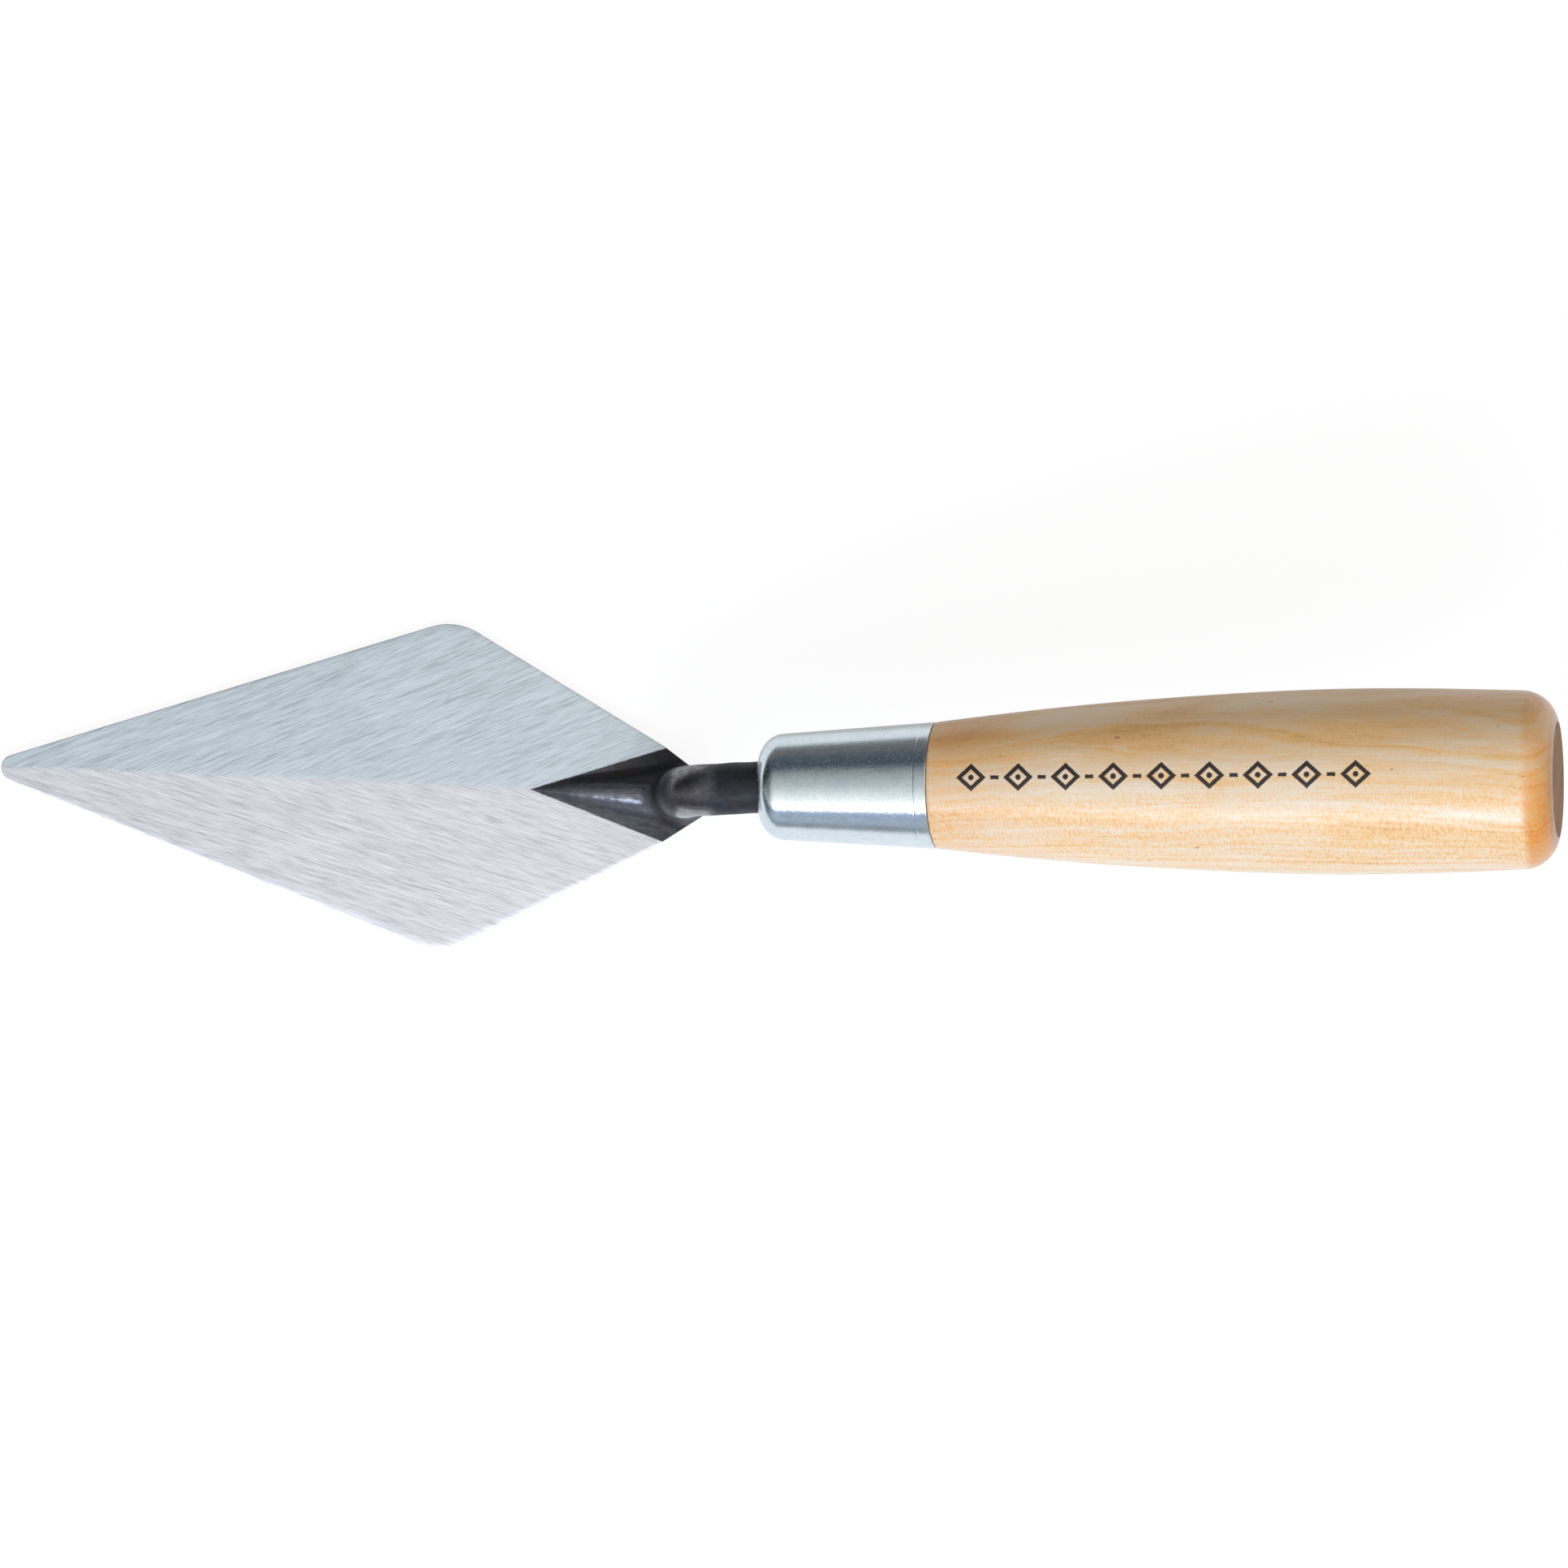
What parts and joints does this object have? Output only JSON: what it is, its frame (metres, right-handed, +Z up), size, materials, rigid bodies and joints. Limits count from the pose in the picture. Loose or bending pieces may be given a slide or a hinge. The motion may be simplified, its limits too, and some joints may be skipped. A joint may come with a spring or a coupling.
{
  "type": "brick trowel",
  "caption": "Small pointing-pattern brick trowel: kite-shaped ground steel blade forged in one with its cranked neck, a plated tapered ferrule and a turned wooden handle.",
  "frame": {"origin": "on the blade's flat sole, beside the foot of the neck, with the sole on z = 0", "axes": "+X from the blade's tip towards the butt of the handle; +Z up, away from the sole; the handle's axis lies in the plane y = 0"},
  "size_m": [0.2813, 0.0592, 0.0716],
  "materials": {
    "blade_steel": "ground bright, with black forge scale on the heel, spine, neck and shank",
    "ferrule_plate": "bright zinc plate",
    "handle_wood": "clear gloss lacquer on pale hardwood",
    "tang_resin": "cured, unseen"
  },
  "bodies": {
    "root": {"blade_forging": "blade_steel", "ferrule": "ferrule_plate", "handle": "handle_wood", "tang_resin": "tang_resin"}
  },
  "joints": []
}
